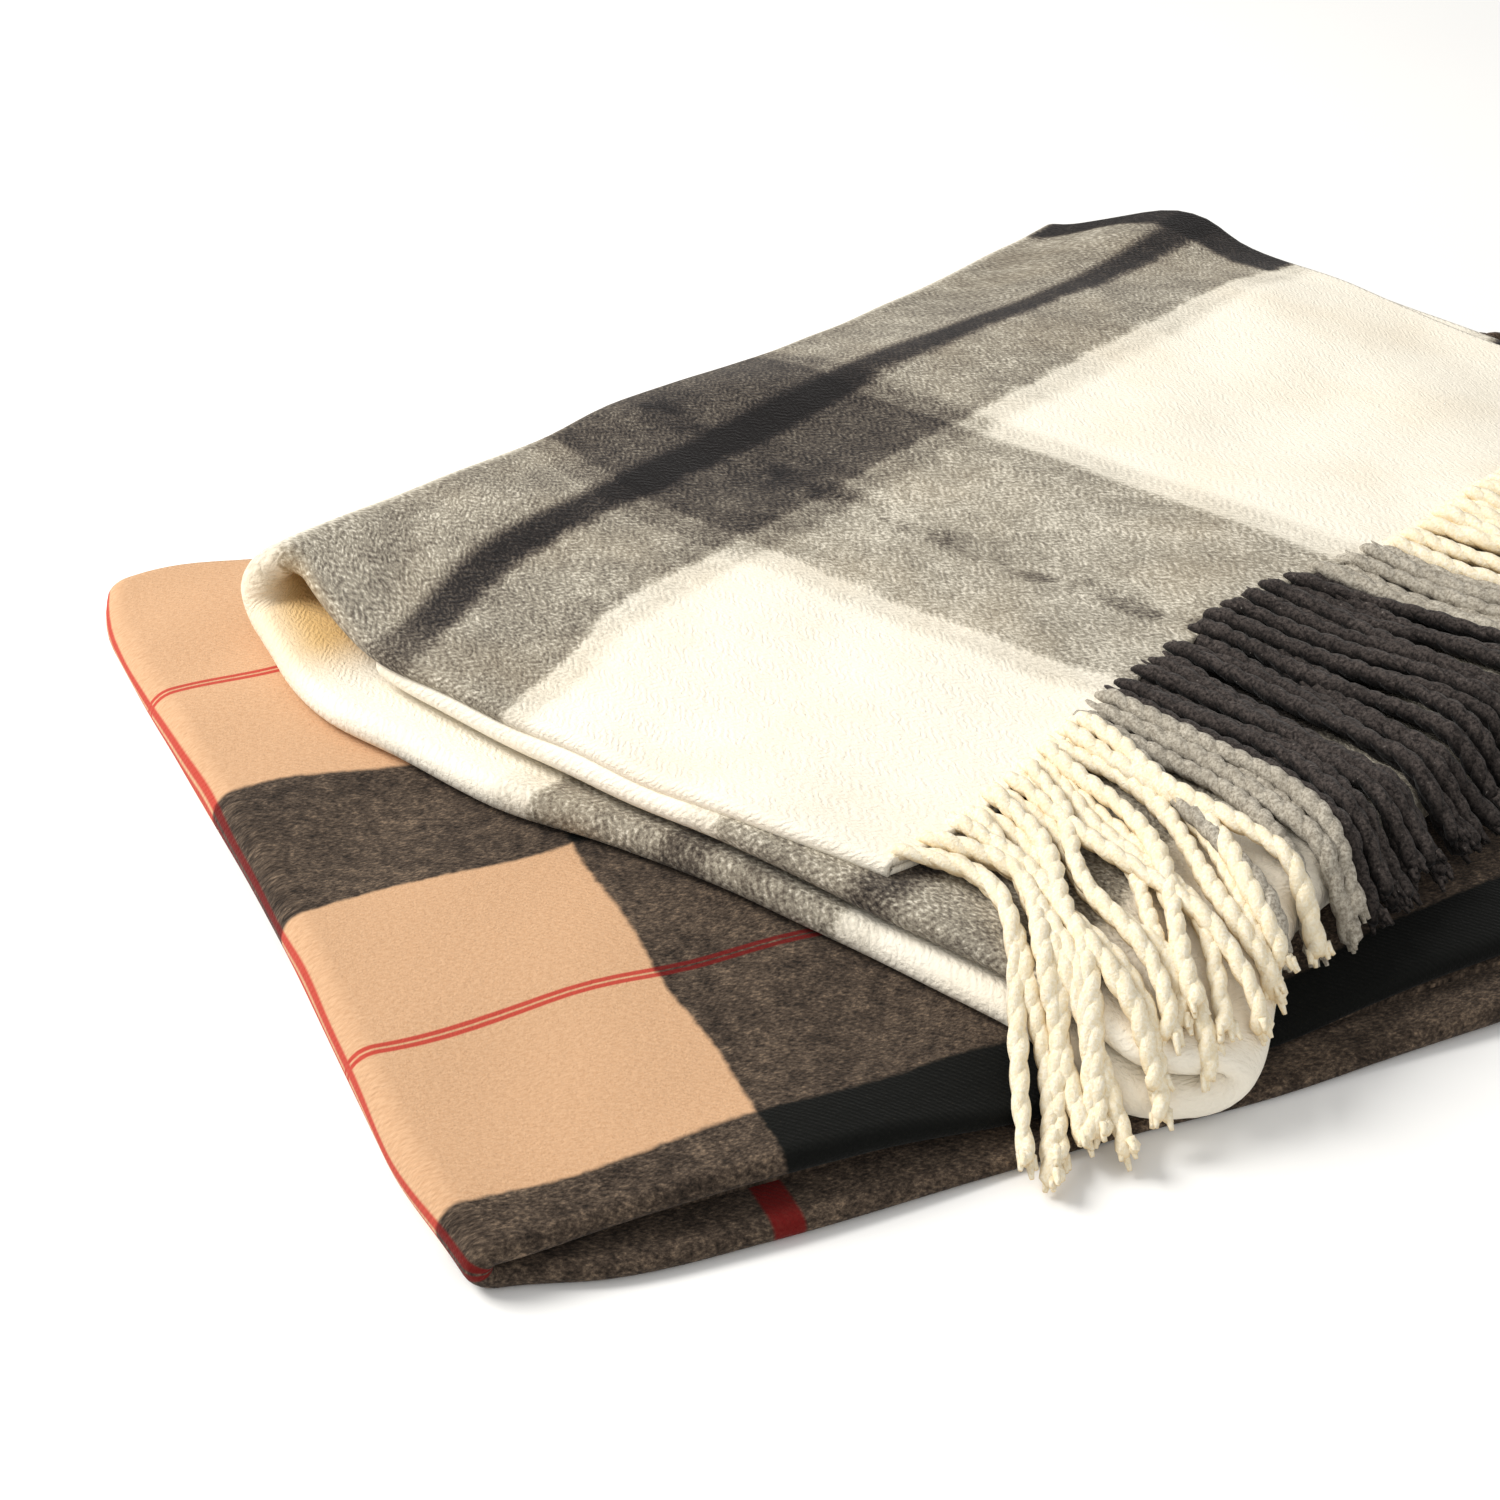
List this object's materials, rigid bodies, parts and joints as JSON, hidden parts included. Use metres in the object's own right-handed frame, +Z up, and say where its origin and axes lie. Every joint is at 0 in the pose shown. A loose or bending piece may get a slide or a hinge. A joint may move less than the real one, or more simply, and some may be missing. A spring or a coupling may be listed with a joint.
{
  "type": "folded throw blankets",
  "caption": "Two fringed plaid wool throws, each folded flat, the cream and grey one lying turned across the camel and charcoal one.",
  "frame": {"origin": "under the middle of the stack's box, on the surface it lies on", "axes": "+X along the lower throw's front edge towards its fringe, +Y from its front edge to its back, +Z up"},
  "size_m": [0.7506, 0.6728, 0.0521],
  "materials": {
    "camel_plaid": "brushed wool twill",
    "cream_plaid": "brushed wool twill",
    "camel_fringe": "twisted wool yarn",
    "cream_fringe": "twisted wool yarn",
    "grey_fringe": "twisted wool yarn",
    "charcoal_fringe": "twisted wool yarn"
  },
  "bodies": {
    "lower_throw": {"lower_bottom_leaf": "camel_plaid", "lower_top_leaf": "camel_plaid", "lower_left_fold": "camel_plaid", "lower_bottom_fringe": "camel_fringe", "lower_top_fringe": "camel_fringe"},
    "upper_throw": {"upper_bottom_leaf": "cream_plaid", "upper_tucked_leaf": "cream_plaid", "upper_second_leaf": "cream_plaid", "upper_right_fold": "cream_plaid", "upper_inner_left_fold": "cream_plaid", "upper_tucked_fringe": "cream_fringe", "upper_outer_left_fold": "cream_plaid"},
    "opening_leaf": {"upper_top_leaf": "cream_plaid", "upper_fringe_front_cream": "cream_fringe", "upper_fringe_front_grey": "grey_fringe", "upper_fringe_charcoal": "charcoal_fringe", "upper_fringe_back_grey": "grey_fringe", "upper_fringe_back_cream": "cream_fringe"}
  },
  "joints": [
    {"name": "lift_off", "type": "slide", "parent": "lower_throw", "child": "upper_throw", "axis": [0, 0, 1], "range_m": [0, 0.25]},
    {"name": "top_leaf_opening", "type": "hinge", "parent": "upper_throw", "child": "opening_leaf", "pos_m": [-0.07552, 0.20253, 0.0362], "axis": [-0.9198, -0.3923, 0], "range_deg": [0, 175], "deforming": ["upper_outer_left_fold"]}
  ]
}
